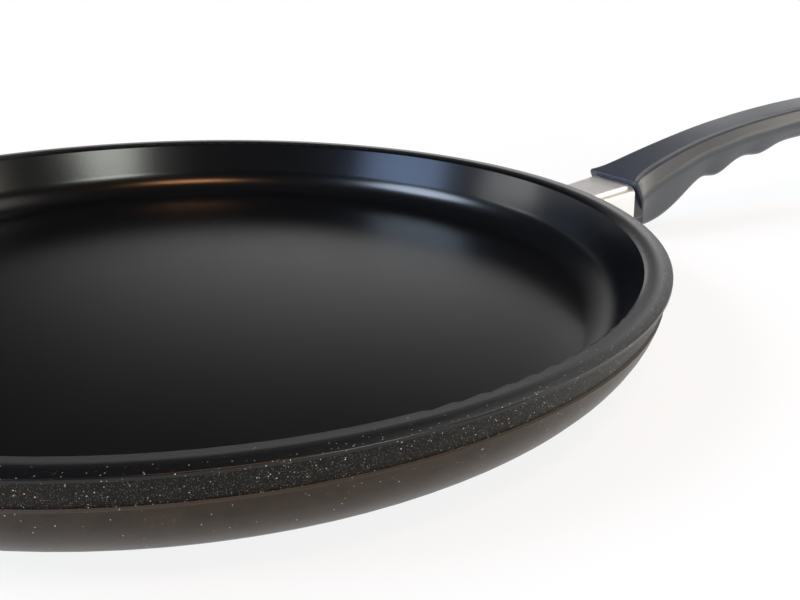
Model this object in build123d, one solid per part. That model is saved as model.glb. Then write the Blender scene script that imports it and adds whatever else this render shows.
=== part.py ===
from build123d import *
import math
import os

# A cast-aluminium crepe pan with a moulded grip and a polished flame guard.
# Millimetres. The origin is the middle of the base's underside, +Z is up and the handle points along +X.

# Casting: the pan's own outline
rim_radius = 140.0
pan_height = 26.5
rim_land_width = 7.0
rim_lip_radius = 1.6
rim_nose_height = 0.9
rim_nose_radius = 0.4
rim_overhang = 0.8
band_height = 5.8
band_draft_angle = 9.5
ledge_width = 0.5
ledge_drop = 0.25
base_inset = 25.0
floor_thickness = 5.0
inner_wall_draft_angle = 13.0
floor_fillet_radius = 12.0

# Casting: rings turned in the underside
ring_count = 8
ring_first_radius = 26.0
ring_margin = 12.0
ring_width = 1.4
ring_depth = 0.4

# Grip: where its top line starts, from the rim's outer edge and from the rim's top
grip_standoff = 31.8
grip_top_drop = 1.2

# Grip: the top line is two tangent arcs that level out towards the far end
grip_start_angle = 21.0
grip_middle_angle = 9.5
grip_first_arc_length = 70.5
grip_second_arc_length = 95.5

# Grip: section at its largest, square to the top line
grip_top_width = 29.6
grip_width = 30.0
grip_depth = 26.0
grip_widest_drop = 10.0
grip_side_radius = 9.0
grip_underside_radius = 5.0
grip_top_edge_radius = 2.0

# Along the grip: place as a share of its length, then shares of grip_top_width, grip_width and grip_depth.
# The depth swells between the fingers.
grip_station_shares = (
    (0.000, 1.000, 1.000, 0.94),
    (0.045, 0.730, 0.870, 0.98),
    (0.105, 0.635, 0.800, 1.01),
    (0.170, 0.575, 0.750, 0.93),
    (0.225, 0.540, 0.715, 0.80),
    (0.283, 0.522, 0.690, 0.71),
    (0.335, 0.518, 0.682, 0.78),
    (0.395, 0.518, 0.680, 0.68),
    (0.458, 0.520, 0.680, 0.63),
    (0.510, 0.528, 0.682, 0.68),
    (0.575, 0.538, 0.688, 0.60),
    (0.660, 0.560, 0.705, 0.56),
    (0.760, 0.595, 0.735, 0.56),
    (0.870, 0.622, 0.753, 0.57),
    (0.940, 0.618, 0.745, 0.56),
    (1.000, 0.595, 0.715, 0.54),
)
underside_width_share = 0.62

# Grip: slanted front face, rounded far end and hanging slot
grip_face_angle = 30.0
grip_face_edge_radius = 0.7
grip_end_run = 10.0
grip_end_edge_radius = 1.2
slot_length = 22.0
slot_width = 9.0
slot_end_wall = 9.0
slot_mouth_radius = 1.0

# Flame guard: a drawn sleeve of rounded-rectangle section that widens towards the grip, on a rising axis
handle_angle = 6.0
guard_width = 25.4
guard_height = 16.5
guard_taper_angle = 2.5
guard_wall = 1.0
guard_corner_radius = 3.6
guard_top_drop = 2.2
guard_face_gap = 0.2
guard_pan_gap = 0.3

# Boss on the casting and spigot on the grip, which meet inside the flame guard
boss_length = 18.0
boss_gap = 0.3
spigot_overlap = 6.0

# Fixing screw, driven from the grip's underside into the boss
screw_angle = 2.0
screw_raise = 0.8
screw_radius = 2.5
screw_clamp_length = 24.0
screw_thread_length = 8.8
screw_head_radius = 4.4
screw_head_height = 3.2
screw_head_edge_radius = 0.8
screw_hole_gap = 0.3
thread_gap = 0.05
tap_runout = 1.6
cross_width = 1.2
cross_length = 5.0
cross_depth = 1.8
counterbore_radius = 5.3

# Washers under the screw's head
flat_washer_radius = 5.0
flat_washer_thickness = 1.0
spring_washer_radius = 4.4
spring_washer_thickness = 1.2
spring_washer_slit = 0.8
washer_bore_gap = 0.25

# Overrun of every cutting tool past what it cuts
overrun = 5.0

base_flat_radius = rim_radius - base_inset
lip_radius = rim_radius - rim_land_width


def outside_face(gap=0.0, top=pan_height):
    # Half section of the pan's outside, filled in to the axis and grown by a gap, up to a given height
    nose_bottom = pan_height - rim_nose_height
    band_top = rim_radius - rim_overhang
    band_foot = nose_bottom - band_height
    band_bottom = band_top - band_height * math.tan(math.radians(band_draft_angle))
    base_edge = (base_flat_radius, -gap)
    ledge = (band_bottom + ledge_width + gap, band_foot - ledge_drop)
    outline = Polyline(
        ledge,
        (band_bottom + gap, band_foot),
        (band_top + gap, nose_bottom),
        (rim_radius + gap, nose_bottom),
        (rim_radius + gap, top),
        (0, top),
        (0, -gap),
        base_edge,
    )
    return make_face(Curve() + [TangentArc(base_edge, ledge, tangent=(1, 0)), outline])


def cavity_face():
    # Half section of the space inside the pan, carried on above the rim
    lean = (pan_height - floor_thickness) * math.tan(math.radians(inner_wall_draft_angle))
    corner = (lip_radius - lean, floor_thickness)
    top = pan_height + overrun
    outline = Polyline(
        (0, floor_thickness),
        corner,
        (lip_radius, pan_height),
        (lip_radius, top),
        (0, top),
        close=True,
    )
    face = make_face(outline)
    return fillet(face.vertices().sort_by_distance(corner)[0], floor_fillet_radius)


def turned_rings():
    # Shallow V grooves in the underside
    pitch = (base_flat_radius - ring_margin - ring_first_radius) / (ring_count - 1)
    grooves = Sketch()
    for index in range(ring_count):
        middle = ring_first_radius + index * pitch
        groove = Polyline(
            (middle - ring_width / 2, 0),
            (middle, ring_depth),
            (middle + ring_width / 2, 0),
            close=True,
        )
        grooves += make_face(groove)
    return grooves


def front_plane():
    # The grip's slanted front face; it looks at the pan and its x runs across the grip
    tilt = math.radians(grip_face_angle)
    return Plane(
        origin=(rim_radius + grip_standoff, 0, pan_height - grip_top_drop),
        x_dir=(0, 1, 0),
        z_dir=(-math.cos(tilt), 0, -math.sin(tilt)),
    )


def handle_axis(distance=0.0):
    # Plane square to the handle axis, a distance outwards from the flame guard's end.
    # The guard's upper edge there lies a small gap off the grip's front face.
    rise = math.radians(handle_angle)
    outwards = Vector(math.cos(rise), 0, math.sin(rise))
    upwards = Vector(-math.sin(rise), 0, math.cos(rise))
    front = front_plane()
    upper_edge = front.origin + front.y_dir * guard_top_drop + front.z_dir * guard_face_gap
    origin = upper_edge - upwards * (guard_height / 2) + outwards * distance
    return Plane(origin=origin, x_dir=(0, 1, 0), z_dir=outwards)


def axis_run(radius):
    # Distance along the handle axis from the flame guard's end back to a radius of the pan
    return (handle_axis().origin.X - radius) / math.cos(math.radians(handle_angle))


def handle_section(inset, distance):
    # Rounded rectangle at a distance along the handle axis, a given inset inside the flame guard's outside
    spread = distance * math.tan(math.radians(guard_taper_angle)) - inset
    section = RectangleRounded(
        guard_width + 2 * spread,
        guard_height + 2 * spread,
        guard_corner_radius - inset,
    )
    return handle_axis(distance) * section


def handle_bar(inset, start, end):
    # Tapered bar on the handle axis between two distances
    return loft([handle_section(inset, start), handle_section(inset, end)], ruled=True)


def boss_end():
    # Distance of the boss's flat end on the handle axis
    return boss_length - axis_run(rim_radius)


def screw_axis(distance=0.0):
    # Plane square to the screw, a distance outwards from just above the middle of the boss's end
    tilt = math.radians(screw_angle)
    outwards = Vector(math.cos(tilt), 0, -math.sin(tilt))
    start = handle_axis(boss_end())
    origin = start.origin + start.y_dir * screw_raise + outwards * distance
    return Plane(origin=origin, x_dir=(0, 1, 0), z_dir=outwards)


def screw_bar(radius, start, end):
    # Round bar on the screw axis between two distances
    return extrude(screw_axis(start) * Circle(radius), end - start)


def pan_body():
    # The casting: the revolved pan, and the boss with its tapped hole
    section = outside_face() - cavity_face() - turned_rings()
    lip = section.vertices().sort_by_distance((lip_radius, pan_height))[0]
    section = fillet(lip, rim_lip_radius)
    nose = section.vertices().sort_by_distance((rim_radius, pan_height))[0]
    section = fillet(nose, rim_nose_radius)
    pan = revolve(Plane.XZ * section, Axis.Z)
    boss = handle_bar(guard_wall + boss_gap, -axis_run(base_flat_radius), boss_end())
    boss -= revolve(Plane.XZ * cavity_face(), Axis.Z)
    return pan + boss - screw_bar(screw_radius + thread_gap, -screw_thread_length - tap_runout, overrun)


def flame_guard():
    # The polished sleeve, open at both ends and cut to the pan's outside
    root = -axis_run(base_flat_radius)
    sleeve = handle_bar(0, root, 0) - handle_bar(guard_wall, root - overrun, overrun)
    return sleeve - revolve(Plane.XZ * outside_face(guard_pan_gap, pan_height + overrun), Axis.Z)


def grip_top_line():
    # Side view of the grip's top: two tangent arcs, each turned through its own angle
    first_turn = grip_start_angle - grip_middle_angle
    rise = math.radians(grip_start_angle)
    first = JernArc(
        (rim_radius + grip_standoff, pan_height - grip_top_drop),
        (math.cos(rise), math.sin(rise)),
        grip_first_arc_length / math.radians(first_turn),
        -first_turn,
    )
    second = JernArc(
        first @ 1,
        first % 1,
        grip_second_arc_length / math.radians(grip_middle_angle),
        -grip_middle_angle,
    )
    return Plane.XZ * Wire([first, second])


def grip_section(line, place, top_share, width_share, depth_share):
    # One section of the grip, square to the top line and hanging from it
    top = grip_top_width * top_share / 2
    widest = grip_width * width_share / 2
    half = [
        (top, 0),
        (widest, -grip_widest_drop * width_share),
        (widest * underside_width_share, -grip_depth * depth_share),
    ]
    radii = [grip_top_edge_radius, grip_side_radius * width_share, grip_underside_radius * width_share]
    other_half = [(-across, down) for across, down in reversed(half)]
    outline = FilletPolyline(*half, *other_half, radius=radii + radii[::-1], close=True)
    plane = Plane(origin=line.position_at(place), x_dir=(0, 1, 0), z_dir=line.tangent_at(place))
    return plane * make_face(outline)


def grip_end_tool(line):
    # What lies outside the grip's rounded far end, seen from above
    far_end = (line @ 1).X
    shoulder = far_end - grip_end_run
    half_width = grip_width * grip_station_shares[-1][2] / 2 + grip_end_edge_radius / 2
    end_arc = ThreePointArc((shoulder, half_width), (far_end, 0), (shoulder, -half_width))
    outside = Polyline(
        (shoulder, -half_width),
        (shoulder, -grip_width),
        (far_end + overrun, -grip_width),
        (far_end + overrun, grip_width),
        (shoulder, grip_width),
        (shoulder, half_width),
    )
    tool = extrude(make_face(Curve() + [end_arc, outside]), grip_depth * 2, both=True)
    return Pos(0, 0, (line @ 1).Z) * tool


def hanging_slot(line):
    # Upright slot through the grip's far end
    place = 1 - (slot_end_wall + slot_length / 2) / line.length
    slot = extrude(SlotOverall(slot_length, slot_width), grip_depth * 2, both=True)
    return Pos(line.position_at(place)) * slot


def grip():
    # The moulding: a lofted body, a spigot, the screw's counterbored hole and the hanging slot
    line = grip_top_line()
    body = loft([grip_section(line, *shares) for shares in grip_station_shares])
    body -= extrude(front_plane() * Rectangle(grip_width * 2, grip_depth * 4), grip_depth)
    front = body.faces().sort_by(Axis.X)[0]
    body = fillet(front.edges(), grip_face_edge_radius)
    body -= grip_end_tool(line)
    end = body.faces().sort_by(Axis.X)[-1]
    body = fillet(end.edges(), grip_end_edge_radius)
    slot = hanging_slot(line)
    mouths = new_edges(body, slot, combined=body - slot)
    body = fillet(mouths, slot_mouth_radius)
    body += handle_bar(guard_wall + boss_gap, boss_end(), spigot_overlap)
    body -= screw_bar(screw_radius + screw_hole_gap, -overrun, screw_clamp_length + overrun)
    body -= screw_bar(counterbore_radius, screw_clamp_length, screw_clamp_length + grip_depth * 2)
    return body


def flat_washer():
    # Plain washer on the counterbore's floor
    start = screw_clamp_length
    end = start + flat_washer_thickness
    bore = screw_bar(screw_radius + washer_bore_gap, start - overrun, end + overrun)
    return screw_bar(flat_washer_radius, start, end) - bore


def spring_washer():
    # Split washer between the plain one and the screw's head, with a slanted slit
    start = screw_clamp_length + flat_washer_thickness
    end = start + spring_washer_thickness
    ring = screw_bar(spring_washer_radius, start, end)
    ring -= screw_bar(screw_radius + washer_bore_gap, start - overrun, end + overrun)
    slit = Pos(spring_washer_radius, 0, 0) * Rot(45, 0, 0) * Box(
        spring_washer_radius * 2,
        spring_washer_slit,
        spring_washer_thickness * 4,
    )
    return ring - screw_axis((start + end) / 2).location * slit


def fixing_screw():
    # Round-headed screw with a cross recess
    seat = screw_clamp_length + flat_washer_thickness + spring_washer_thickness
    head = screw_bar(screw_head_radius, seat, seat + screw_head_height)
    crown = head.edges().sort_by(Axis.X)[-1]
    head = fillet(crown, screw_head_edge_radius)
    cross = Box(cross_length, cross_width, cross_depth * 2) + Box(cross_width, cross_length, cross_depth * 2)
    head -= screw_axis(seat + screw_head_height).location * cross
    return head + screw_bar(screw_radius, -screw_thread_length, seat)


pieces = {
    "pan_body": pan_body,
    "flame_guard": flame_guard,
    "grip": grip,
    "flat_washer": flat_washer,
    "spring_washer": spring_washer,
    "fixing_screw": fixing_screw,
}

os.makedirs("parts", exist_ok=True)
for name, make in pieces.items():
    export_step(make(), f"parts/{name}.step")
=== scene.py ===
import bpy
import math
from mathutils import Matrix, Vector


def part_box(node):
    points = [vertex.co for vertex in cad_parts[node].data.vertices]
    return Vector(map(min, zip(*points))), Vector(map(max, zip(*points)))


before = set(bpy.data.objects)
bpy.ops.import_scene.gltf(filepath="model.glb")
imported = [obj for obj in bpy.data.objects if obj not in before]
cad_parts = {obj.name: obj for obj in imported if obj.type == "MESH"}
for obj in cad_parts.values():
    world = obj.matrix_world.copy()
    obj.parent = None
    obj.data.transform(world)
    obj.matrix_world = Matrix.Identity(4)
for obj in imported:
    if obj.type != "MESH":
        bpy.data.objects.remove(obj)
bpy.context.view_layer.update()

# Crepe pan: cast body with a non-stick inside and a speckled outside, flame guard, moulded grip.
# Metres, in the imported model's own frame: the base stands on z = 0 and the handle points along +X.

print("frame loaded:", len(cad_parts), "nodes")


class Wire:
    # a node's output that can stand in sums: each operator adds the Math node that it needs

    def __init__(self, socket):
        self.socket = socket

    def math(self, operation, *values):
        tree = self.socket.id_data
        node = tree.nodes.new("ShaderNodeMath")
        node.operation = operation
        for slot, value in zip(node.inputs, values):
            if isinstance(value, Wire):
                tree.links.new(value.socket, slot)
            else:
                slot.default_value = value
        return Wire(node.outputs[0])

    def __add__(self, other):
        return self.math("ADD", self, other)

    def __radd__(self, other):
        return self.math("ADD", other, self)

    def __sub__(self, other):
        return self.math("SUBTRACT", self, other)

    def __rsub__(self, other):
        return self.math("SUBTRACT", other, self)

    def __mul__(self, other):
        return self.math("MULTIPLY", self, other)

    def __rmul__(self, other):
        return self.math("MULTIPLY", other, self)

    def __truediv__(self, other):
        return self.math("DIVIDE", self, other)

    def __pow__(self, other):
        return self.math("POWER", self, other)

    def larger(self, other):
        return self.math("MAXIMUM", self, other)

    def smaller(self, other):
        return self.math("MINIMUM", self, other)

    def above(self, limit):
        # 1 where the value is over the limit
        return self.math("GREATER_THAN", self, limit)

    def sine(self):
        return self.math("SINE", self)

    def size(self):
        return self.math("ABSOLUTE", self)

    def clipped(self):
        return self.larger(0.0).smaller(1.0)

    def beside(self, key):
        # another output of the same node
        return Wire(self.socket.node.outputs[key])


class Finish:
    # the nodes of one material or world: add() makes any node

    def __init__(self, holder):
        holder.use_nodes = True
        self.holder = holder
        self.tree = holder.node_tree
        self.tree.nodes.clear()

    def add(self, kind, settings=None, sockets=None, output=0):
        node = self.tree.nodes.new(kind)
        for key, value in (settings or {}).items():
            if key == "stops":
                self.setStops(node.color_ramp, value)
            else:
                setattr(node, key, value)
        for key, value in (sockets or {}).items():
            self.feed(node.inputs[key], value)
        return Wire(node.outputs[output]) if node.outputs else None

    def feed(self, slot, value):
        if isinstance(value, Wire):
            self.tree.links.new(value.socket, slot)
        elif slot.type == "RGBA" and len(value) == 3:
            slot.default_value = (*value, 1.0)
        else:
            slot.default_value = value

    def setStops(self, ramp, stops):
        while len(ramp.elements) < len(stops):
            ramp.elements.new(1.0)
        for element, (place, colour) in zip(ramp.elements, stops):
            element.position = place
            element.color = (*colour, 1.0)

    def place(self):
        # the point on the part, in metres from the part's origin
        return self.add("ShaderNodeTexCoord", output="Object")

    def split(self, vector):
        x = self.add("ShaderNodeSeparateXYZ", {}, {"Vector": vector})
        return x, x.beside("Y"), x.beside("Z")

    def blended(self, factor, first, second):
        # colour mix, factor 0 is the first
        return self.add(
            "ShaderNodeMix",
            {"data_type": "RGBA", "clamp_factor": True},
            {0: factor, 6: first, 7: second},
            output=2,
        )

    def toned(self, factor, colour, shares):
        # one colour between two shares of itself
        dark, light = (scaled(colour, share) for share in shares)
        return self.blended(factor, dark, light)

    def blendedVectors(self, factor, first, second):
        return self.add(
            "ShaderNodeMix",
            {"data_type": "VECTOR", "clamp_factor": True},
            {0: factor, 4: first, 5: second},
            output=1,
        )

    def vectorMath(self, operation, first, second=(0.0, 0.0, 0.0)):
        return self.add("ShaderNodeVectorMath", {"operation": operation}, {0: first, 1: second})

    def smoothStep(self, value, low, high):
        # 0 below low, 1 above high, eased between
        return self.add(
            "ShaderNodeMapRange",
            {"interpolation_type": "SMOOTHSTEP"},
            {"Value": value, "From Min": low, "From Max": high},
        )

    def noise(self, where, scale, detail=2.0, roughness=0.5):
        return self.add(
            "ShaderNodeTexNoise",
            {"noise_dimensions": "3D"},
            {"Vector": where, "Scale": scale, "Detail": detail, "Roughness": roughness},
        )

    def bump(self, height, normal=None):
        sockets = {"Strength": 1.0, "Distance": 1.0, "Height": height}
        if normal:
            sockets["Normal"] = normal
        return self.add("ShaderNodeBump", {}, sockets)

    def principled(self, sockets):
        return self.add("ShaderNodeBsdfPrincipled", {}, sockets)

    def mixShader(self, factor, first, second):
        return self.add("ShaderNodeMixShader", {}, {0: factor, 1: first, 2: second})

    def close(self, shader):
        self.add("ShaderNodeOutputMaterial", {}, {"Surface": shader})
        return self.holder


def newFinish(name):
    return Finish(bpy.data.materials.new(name))


def scaled(colour, share):
    return tuple(channel * share for channel in colour)


def dress(nodeName, material):
    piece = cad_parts[nodeName]
    piece.data.materials.clear()
    piece.data.materials.append(material)


# Camera

camera = {
    "place": (-0.0683, -0.2382, 0.0958),
    "heading": 30.49,  # degrees from +Y towards +X
    "down": 21.40,
    "roll": 1.48,
    "lens": 36.0,
    "sensor": 36.0,
    "nearest": 0.01,
}


def makeCamera():
    data = bpy.data.cameras.new("camera")
    data.lens = camera["lens"]
    data.sensor_width = camera["sensor"]
    data.clip_start = camera["nearest"]
    seen = bpy.data.objects.new("camera", data)
    turn = Matrix.Rotation(math.radians(-camera["heading"]), 4, "Z")
    tilt = Matrix.Rotation(math.radians(90 - camera["down"]), 4, "X")
    lean = Matrix.Rotation(math.radians(camera["roll"]), 4, "Z")
    seen.matrix_world = Matrix.Translation(camera["place"]) @ turn @ tilt @ lean
    bpy.context.collection.objects.link(seen)
    bpy.context.scene.camera = seen


makeCamera()
print("camera placed")


# Pan casting: the zones of its surface, then their coats

panLow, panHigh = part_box("pan_body")
rimRadius = -panLow[0]
rimTop = panHigh[2]

profile = {
    "landWidth": 0.0070,  # flat top of the rim
    "wallLean": 13.0,  # degrees, inside wall from upright
    "lipRound": 0.0016,
    "floorThickness": 0.0050,
    "floorRound": 0.0120,
    "softLipFrom": 0.0021,  # the land starts to turn over this far outside the lip's round
    "softLipTurn": 0.0044,
    "softLipTilt": 0.62,  # sine of its steepest tilt
    "lipSheen": (0.0020, 0.0045),  # distances from the wall between which the lip's own gloss ends
    "landStartBlur": 0.0010,
    "landEdgeWidth": 0.0035,  # outer part of the land, with more flakes
    "crownWidth": 0.0030,  # outer part of the land, which seems to fall away a little
    "crownTilt": 0.10,
    "noseRound": 0.0004,
    "noseHeight": 0.0009,
    "bandHeight": 0.0058,
    "baseInset": 0.0250,
    "lowerWallRound": 0.0241,  # section radius of the lower wall, tangent to the base
    "outsideDepth": (0.0020, 0.0012),  # depths under the outer surface where the outside starts
    "edgeBlur": 0.0002,
}


def insideNormal(finish, x, y, z, radius):
    # surface direction of the turned inside, worked out from its section, because the mesh is coarse:
    # true on the floor, its round, the wall and the nose, and softer than the solid on the lip and land
    lean = math.radians(profile["wallLean"])
    lipRound = profile["lipRound"]
    lipTangent = lipRound / math.tan((math.radians(90) + lean) / 2)
    lipRadius = rimRadius - profile["landWidth"] + lipTangent
    lipHeight = rimTop - lipRound
    floorRound = profile["floorRound"]
    roundHeight = profile["floorThickness"] + floorRound
    wallFoot = roundHeight - floorRound * math.sin(lean)
    wallFootRadius = rimRadius - profile["landWidth"] - (rimTop - wallFoot) * math.tan(lean)
    roundRadius = wallFootRadius - floorRound * math.cos(lean)
    noseRadius = rimRadius - profile["noseRound"]
    noseHeight = rimTop - profile["noseRound"]

    lipFoot = lipHeight + lipRound * math.sin(lean)
    crownRadius = rimRadius - profile["crownWidth"]
    onRound = radius.above(roundRadius) * (1 - z.above(wallFoot))
    onWall = z.above(wallFoot) * (1 - z.above(lipFoot)) * (1 - radius.above(lipRadius))
    onTop = z.above(lipFoot) * (1 - radius.above(noseRadius))
    onNose = radius.above(noseRadius)
    onFloor = 1 - onRound - onWall - onTop - onNose

    turned = ((radius - lipRadius - profile["softLipFrom"]) / profile["softLipTurn"]).smaller(0.0)
    turned = turned.larger(-profile["softLipTilt"])
    crown = ((radius - crownRadius) / profile["crownWidth"]).larger(0.0) * profile["crownTilt"]
    topTilt = turned + crown
    topRise = (1 - topTilt * topTilt) ** 0.5
    outward = onRound * ((roundRadius - radius) / floorRound) + onTop * topTilt
    outward = outward - onWall * math.cos(lean)
    outward = outward + onNose * ((radius - noseRadius) / profile["noseRound"])
    upward = onRound * ((roundHeight - z) / floorRound) + onTop * topRise + onWall * math.sin(lean)
    upward = upward + onFloor + onNose * ((z - noseHeight) / profile["noseRound"])
    direction = finish.add(
        "ShaderNodeCombineXYZ",
        {},
        {"X": x / radius * outward, "Y": y / radius * outward, "Z": upward},
    )
    return finish.add(
        "ShaderNodeVectorTransform",
        {"vector_type": "NORMAL", "convert_from": "OBJECT", "convert_to": "WORLD"},
        {"Vector": direction},
    )


def castingZones(finish, where):
    # masks of the casting's zones, by radius and height
    x, y, z = finish.split(where)
    radius = (x * x + y * y) ** 0.5
    blur = profile["edgeBlur"]

    noseBottom = rimTop - profile["noseHeight"]
    bandFoot = noseBottom - profile["bandHeight"]
    wallRound = profile["lowerWallRound"]
    outward = (radius - (rimRadius - profile["baseInset"])).larger(0.0)
    sunk = wallRound - z
    fromMiddle = (outward * outward + sunk * sunk) ** 0.5
    deep, shallow = profile["outsideDepth"]
    outside = finish.smoothStep(fromMiddle, wallRound - deep, wallRound - shallow)
    outside = outside * (1 - finish.smoothStep(z, noseBottom - blur, noseBottom))
    bandZone = outside * finish.smoothStep(z, bandFoot - blur / 2, bandFoot + blur / 2)

    inside = (1 - radius.above(rimRadius - blur / 2)) * (1 - outside.above(0.5))
    geometry = finish.add("ShaderNodeNewGeometry", output="Normal")
    normal = finish.blendedVectors(inside, geometry, insideNormal(finish, x, y, z, radius))

    landStart = rimRadius - profile["landWidth"]
    land = finish.smoothStep(radius, landStart, landStart + profile["landStartBlur"])
    lipEnd, lipGone = (landStart + distance for distance in profile["lipSheen"])
    edge = finish.smoothStep(radius, rimRadius - profile["landEdgeWidth"], rimRadius)
    return {
        "radius": radius,
        "height": z,
        "outside": outside,
        "band": bandZone,
        "land": land * (1 - outside),
        "lip": land * (1 - finish.smoothStep(radius, lipEnd, lipGone)),
        "landEdge": edge * (1 - outside),
        "normal": normal,
    }


flakes = {
    "perMetre": 2900.0,  # cells along a metre, each may hold one flake
    "fadesOut": (0.20, 0.42),  # distances from a flake's middle, in cells
    "dimmest": 0.03,
    "bandShare": 0.16,  # shares of the cells that hold one
    "landShare": 0.012,
    "landEdgeShare": 0.12,
    "wallShare": 0.030,
    "colours": (
        (0.0, (0.80, 0.80, 0.80)),
        (0.55, (0.90, 0.84, 0.68)),
        (0.955, (0.90, 0.80, 0.66)),
        (0.975, (0.85, 0.30, 0.18)),
    ),
    "glitterPerMetre": 5200.0,  # a finer and fainter layer on the band
    "glitterShare": 0.8,
    "glitterStrength": 0.3,
}


def metalFlakes(finish, where, share, perMetre):
    # one cell in a few holds a flake: its strength from 0 to 1, and a random number for its tint
    cells = finish.add("ShaderNodeTexVoronoi", {"feature": "F1"}, {"Vector": where, "Scale": perMetre})
    chance = finish.add("ShaderNodeSeparateColor", {}, {"Color": cells.beside("Color")})
    shine = chance.beside("Blue")
    flake = chance.above(1 - share) * (1 - finish.smoothStep(cells, *flakes["fadesOut"]))
    strength = flakes["dimmest"] + (1 - flakes["dimmest"]) * shine ** 4
    return flake * strength, chance.beside("Green")


coat = {
    "colour": (0.0021, 0.0023, 0.0028),
    "roughness": 0.23,
    "roughnessSpread": 0.04,
    "cloudsPerMetre": 60.0,
    "grainPerMetre": 1600.0,
    "grainDepth": 0.000008,
    "landRoughness": 0.24,
    "lipRoughness": 0.46,
    "edgeRoughness": 0.30,
    "landGrainPerMetre": 2600.0,
    "landGrainDepth": 0.000008,
    "ior": 1.42,
}


def insideCoat(finish, where, zones):
    # satin black non-stick coating inside and on the rim's land, with a few flakes on the land
    clouds = finish.noise(where, coat["cloudsPerMetre"])
    roughness = coat["roughness"] + coat["roughnessSpread"] * (clouds - 0.5)
    roughness = roughness + (coat["landRoughness"] - coat["roughness"]) * zones["land"]
    roughness = roughness + (coat["edgeRoughness"] - coat["landRoughness"]) * zones["landEdge"]
    roughness = roughness + (coat["lipRoughness"] - coat["landRoughness"]) * zones["lip"]
    grain = finish.noise(where, coat["grainPerMetre"]) * coat["grainDepth"]
    landGrain = finish.noise(where, coat["landGrainPerMetre"], 3.0, 0.6) * coat["landGrainDepth"]
    height = grain + landGrain * zones["land"]
    share = flakes["landShare"] * zones["land"] + flakes["landEdgeShare"] * zones["landEdge"]
    flake, tint = metalFlakes(finish, where, share, flakes["perMetre"])
    flakeColour = finish.add("ShaderNodeValToRGB", {"stops": flakes["colours"]}, {"Fac": tint})
    return finish.principled({
        "Base Color": finish.blended(flake, coat["colour"], flakeColour),
        "Roughness": roughness,
        "Metallic": flake,
        "Normal": finish.bump(height, zones["normal"]),
        "IOR": coat["ior"],
    })


speckle = {
    "bandColour": (0.0034, 0.0029, 0.0026),
    "bandTones": (0.5, 1.6),
    "wallColour": (0.0230, 0.0165, 0.0115),
    "wallTones": (0.35, 1.9),
    "ledgeHighlightColour": (0.060, 0.053, 0.045),  # painted highlight: the thin light line along the ledge under the band, a lighter colour over the ledge's shaded face
    "ledgeHighlightDrop": 0.00015,
    "ledgeHighlightHalf": 0.00024,
    "noseShadowHeight": 0.0007,  # painted shadow: the dark line under the rim's nose, where the overhang shades the band
    "noseShadowRoughness": 0.95,
    "bandRoughness": 0.42,
    "wallRoughness": 0.34,
    "grainPerMetre": 3000.0,
    "grainDepth": 0.00003,
    "mottlePerMetre": 700.0,
    "wallMottlePerMetre": 190.0,
    "ior": 1.24,
    "tint": (1.0, 0.93, 0.83),  # warm cast of the gloss
}


def outsideCoat(finish, where, zones):
    # dark brown-black enamel with metal flakes, dense and rough on the band and thin on the lower wall,
    # with a painted highlight along the ledge and a painted shadow under the nose
    band = zones["band"]
    mottle = finish.noise(where, speckle["mottlePerMetre"], 3.0, 0.6)
    bandTone = finish.toned(mottle, speckle["bandColour"], speckle["bandTones"])
    streaks = finish.noise(where, speckle["wallMottlePerMetre"], 4.0, 0.65)
    wallTone = finish.toned(streaks, speckle["wallColour"], speckle["wallTones"])
    colour = finish.blended(band, wallTone, bandTone)
    noseBottom = rimTop - profile["noseHeight"]
    # painted highlight: a thin line of lighter colour along the ledge at the band's foot, over the
    # ledge's shaded face
    ledgeHighlightHeight = noseBottom - profile["bandHeight"] - speckle["ledgeHighlightDrop"]
    offLedgeHighlight = (zones["height"] - ledgeHighlightHeight).size()
    ledgeHighlight = 1 - finish.smoothStep(offLedgeHighlight, speckle["ledgeHighlightHalf"] / 2, speckle["ledgeHighlightHalf"])
    colour = finish.blended(ledgeHighlight, colour, speckle["ledgeHighlightColour"])
    # painted shadow: the band turns black, rough and without flakes in a thin strip under the rim's
    # nose
    noseShadowFoot = noseBottom - speckle["noseShadowHeight"]
    noseShadow = band * finish.smoothStep(zones["height"], noseShadowFoot, noseShadowFoot + profile["edgeBlur"])
    colour = finish.blended(noseShadow, colour, (0.0, 0.0, 0.0))

    share = (flakes["bandShare"] * band + flakes["wallShare"] * (1 - band)) * (1 - noseShadow)
    flake, tint = metalFlakes(finish, where, share, flakes["perMetre"])
    glitterShare = flakes["glitterShare"] * band * (1 - noseShadow)
    glitter = metalFlakes(finish, where, glitterShare, flakes["glitterPerMetre"])[0]
    metal = (flake + flakes["glitterStrength"] * glitter).clipped()
    flakeColour = finish.add("ShaderNodeValToRGB", {"stops": flakes["colours"]}, {"Fac": tint})

    rougher = speckle["bandRoughness"] - speckle["wallRoughness"]
    roughness = speckle["wallRoughness"] + rougher * band
    roughness = roughness + (speckle["noseShadowRoughness"] - speckle["bandRoughness"]) * noseShadow
    grain = finish.noise(where, speckle["grainPerMetre"], 2.0, 0.6) * speckle["grainDepth"] * band
    return finish.principled({
        "Base Color": finish.blended(metal, colour, flakeColour),
        "Roughness": roughness,
        "Metallic": metal,
        "Normal": finish.bump(grain, zones["normal"]),
        "IOR": speckle["ior"],
        "Specular Tint": speckle["tint"],
    })


base = {
    "colour": (0.62, 0.62, 0.63),
    "roughness": 0.34,
    "edge": 0.0006,  # height at which the coating starts
    "turnsPerMetre": 1400.0,
    "turnDepth": 0.000004,
}


def turnedBase(finish, zones):
    # bare aluminium of the underside with the fine marks of the lathe
    turns = (zones["radius"] * (2 * math.pi * base["turnsPerMetre"])).sine()
    return finish.principled({
        "Base Color": base["colour"],
        "Roughness": base["roughness"],
        "Metallic": 1.0,
        "Normal": finish.bump(turns * base["turnDepth"]),
    })


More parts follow.
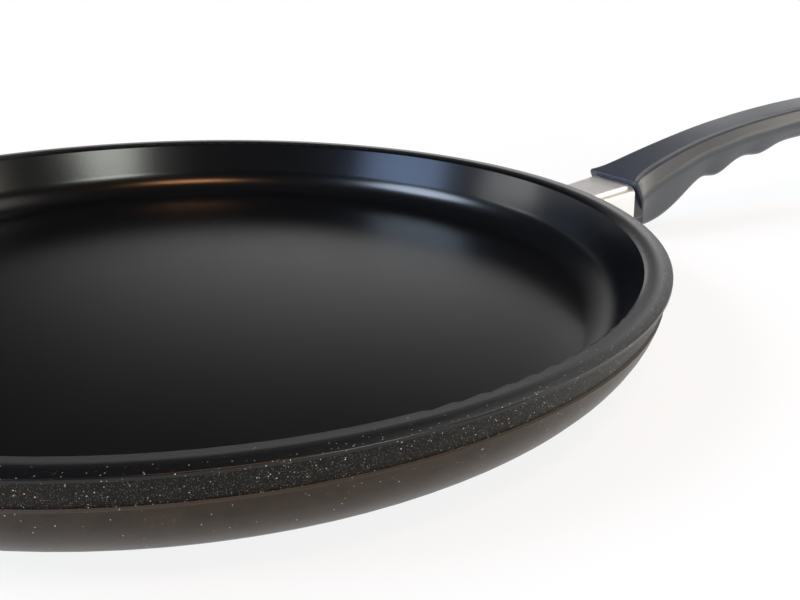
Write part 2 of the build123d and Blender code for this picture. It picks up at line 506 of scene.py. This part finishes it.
def castingFinish():
    finish = newFinish("castingCoats")
    where = finish.place()
    zones = castingZones(finish, where)
    blur = profile["edgeBlur"]
    coated = finish.mixShader(
        zones["outside"], insideCoat(finish, where, zones), outsideCoat(finish, where, zones)
    )
    bare = 1 - finish.smoothStep(zones["height"], base["edge"] - blur / 2, base["edge"] + blur / 2)
    return finish.close(finish.mixShader(bare, coated, turnedBase(finish, zones)))


steel = {
    "colour": (0.93, 0.90, 0.88),
    "smearTones": (0.93, 1.0),
    "smearPerMetre": 220.0,
    "roughness": 0.38,
    "smearRoughness": 0.10,
    "brushRoughness": 0.05,
    "brushPerMetre": 3600.0,
    "brushDepth": 0.000005,
    "brushStretch": (0.04, 1.0, 1.0),  # the lines run along X
}


def guardFinish():
    # polished sheet steel with the faint lines of the polishing belt along the sleeve
    finish = newFinish("polishedSteel")
    where = finish.place()
    stretched = finish.vectorMath("MULTIPLY", where, steel["brushStretch"])
    lines = finish.noise(stretched, steel["brushPerMetre"], 3.0, 0.6)
    smear = finish.noise(where, steel["smearPerMetre"], 3.0, 0.55)
    spread = steel["smearRoughness"] * (smear - 0.5) + steel["brushRoughness"] * (lines - 0.5)
    shader = finish.principled({
        "Base Color": finish.toned(smear, steel["colour"], steel["smearTones"]),
        "Roughness": steel["roughness"] + spread,
        "Metallic": 1.0,
        "Normal": finish.bump(lines * steel["brushDepth"]),
    })
    return finish.close(shader)


plastic = {
    "colour": (0.033, 0.038, 0.047),
    "cloudTones": (0.85, 1.15),
    "cloudsPerMetre": 90.0,
    "roughness": 0.30,
    "roughnessSpread": 0.12,
    "ior": 1.47,
    "grainPerMetre": 1500.0,
    "grainDepth": 0.000016,
}


def gripFinish():
    # satin black phenolic with a fine moulded grain
    finish = newFinish("mouldedPlastic")
    where = finish.place()
    grain = finish.noise(where, plastic["grainPerMetre"], 3.0, 0.55)
    clouds = finish.noise(where, plastic["cloudsPerMetre"], 3.0, 0.55)
    shader = finish.principled({
        "Base Color": finish.toned(clouds, plastic["colour"], plastic["cloudTones"]),
        "Roughness": plastic["roughness"] + plastic["roughnessSpread"] * (clouds - 0.5),
        "Normal": finish.bump(grain * plastic["grainDepth"]),
        "IOR": plastic["ior"],
    })
    return finish.close(shader)


zinc = {
    "colour": (0.66, 0.67, 0.69),
    "spotTones": (0.8, 1.0),
    "spotsPerMetre": 1200.0,
    "roughness": 0.30,
    "roughnessSpread": 0.20,
}


def zincFinish():
    # zinc plating with its faint mottling
    finish = newFinish("zincPlating")
    spots = finish.noise(finish.place(), zinc["spotsPerMetre"], 3.0, 0.6)
    shader = finish.principled({
        "Base Color": finish.toned(spots, zinc["colour"], zinc["spotTones"]),
        "Roughness": zinc["roughness"] + zinc["roughnessSpread"] * (spots - 0.5),
        "Metallic": 1.0,
    })
    return finish.close(shader)


dress("pan_body", castingFinish())
dress("flame_guard", guardFinish())
dress("grip", gripFinish())
zincPlating = zincFinish()
for nodeName in ("fixing_screw", "spring_washer", "flat_washer"):
    dress(nodeName, zincPlating)
print("finishes set")


# Floor and studio

floorPlan = {
    "size": 8.0,
    "drop": 0.0002,  # under the pan's base
    "colour": (0.90, 0.90, 0.90),
    "shadowShare": 0.16,  # how much of the shadow shows on the white floor
    "shadowFrom": 0.12,  # distances from the object's middle line between which the shadow fades out
    "shadowTo": 0.30,
    "middleLine": 0.30,
}


def makeFloor():
    half = floorPlan["size"] / 2
    corners = [(-half, -half, 0), (half, -half, 0), (half, half, 0), (-half, half, 0)]
    mesh = bpy.data.meshes.new("floor")
    mesh.from_pydata(corners, [], [(0, 1, 2, 3)])
    floor = bpy.data.objects.new("floor", mesh)
    floor.location.z = -floorPlan["drop"]
    bpy.context.collection.objects.link(floor)
    finish = newFinish("whiteFloor")
    x, y = finish.split(finish.place())[:2]
    beyond = x - x.larger(0.0).smaller(floorPlan["middleLine"])
    away = (beyond * beyond + y * y) ** 0.5
    near = 1 - finish.smoothStep(away, floorPlan["shadowFrom"], floorPlan["shadowTo"])
    path = finish.add("ShaderNodeLightPath")
    # the camera and the gloss see the same white floor, less where it keeps the shadow
    seen = (path + path.beside("Is Glossy Ray") + path.beside("Is Transmission Ray")).clipped()
    plainShare = seen * (1 - floorPlan["shadowShare"] * near)
    lit = finish.add("ShaderNodeBsdfDiffuse", {}, {"Color": floorPlan["colour"]})
    plain = finish.add("ShaderNodeEmission", {}, {"Color": (1.0, 1.0, 1.0), "Strength": 1.0})
    mesh.materials.append(finish.close(finish.mixShader(plainShare, lit, plain)))


studio = {
    "backdrop": 1.0,  # white low down, the same for the camera, the gloss and the light
    "ceiling": 0.05,
    "fadeFront": (0.24, 0.48),  # sines of the elevations between which the dim ceiling takes over
    "fadeBehind": (0.02, 0.22),
    "frontAzimuth": 48.0,  # degrees from +Y towards +X
    "frontTurn": (0.58, 0.94),  # cosines of the turns from there between which it is the front
    "lampDistance": 2.5,
}


def makeWorld():
    world = bpy.data.worlds.new("studio")
    bpy.context.scene.world = world
    finish = Finish(world)
    x, y, rise = finish.split(finish.add("ShaderNodeTexCoord", output="Generated"))
    azimuth = math.radians(studio["frontAzimuth"])
    ahead = x * math.sin(azimuth) + y * math.cos(azimuth)
    front = finish.smoothStep(ahead, *studio["frontTurn"])
    highFront = finish.smoothStep(rise, *studio["fadeFront"])
    highBehind = finish.smoothStep(rise, *studio["fadeBehind"])
    high = highBehind + (highFront - highBehind) * front
    strength = studio["backdrop"] + (studio["ceiling"] - studio["backdrop"]) * high
    white = (1.0, 1.0, 1.0)
    backdrop = finish.add("ShaderNodeBackground", {}, {"Color": white, "Strength": strength})
    finish.add("ShaderNodeOutputWorld", {}, {"Surface": backdrop})


# azimuth from +Y towards +X, elevation, half width and half height in degrees, radiance, colour
lamps = {
    "windowLeft": (-77, 37, 16, 12, 19.0, (0.66, 0.80, 1.0)),
    "sillLeft": (-92, 10, 16, 8, 9.0, (0.42, 0.60, 1.0)),
    "doorLeft": (-50, 6, 12, 6, 4.6, (0.94, 0.97, 1.0)),
    "windowBehind": (167, 20, 10, 8, 18.0, (0.96, 1.0, 0.92)),
    "ceilingLamp": (-168, 64, 9, 6, 18.0, (1.0, 0.47, 0.21)),
    "softPanel": (80, 50, 28, 15, 2.2, (1.0, 0.97, 0.93)),
    "cardRight": (112, 12, 20, 12, 4.0, (1.0, 0.93, 0.80)),
    "backPatch": (50, 19, 4, 3, 1.4, (1.0, 1.0, 1.0)),
}


def makeLamp(name, azimuth, elevation, halfWidth, halfHeight, radiance, colour):
    distance = studio["lampDistance"]
    data = bpy.data.lights.new(name, "AREA")
    data.shape = "ELLIPSE"
    data.size = 2 * distance * math.tan(math.radians(halfWidth))
    data.size_y = 2 * distance * math.tan(math.radians(halfHeight))
    data.energy = radiance * math.pi * data.size * data.size_y * math.pi / 4
    data.color = colour
    turn = math.radians(azimuth)
    lift = math.radians(elevation)
    place = Vector((
        math.sin(turn) * math.cos(lift),
        math.cos(turn) * math.cos(lift),
        math.sin(lift),
    )) * distance
    lamp = bpy.data.objects.new(name, data)
    lamp.location = place
    lamp.rotation_euler = (-place).to_track_quat("-Z", "Y").to_euler()
    lamp.visible_camera = False
    bpy.context.collection.objects.link(lamp)


makeFloor()
makeWorld()
for name, facts in lamps.items():
    makeLamp(name, *facts)
bpy.context.scene.view_settings.view_transform = "Standard"
print("floor, world and", len(lamps), "lamps placed")
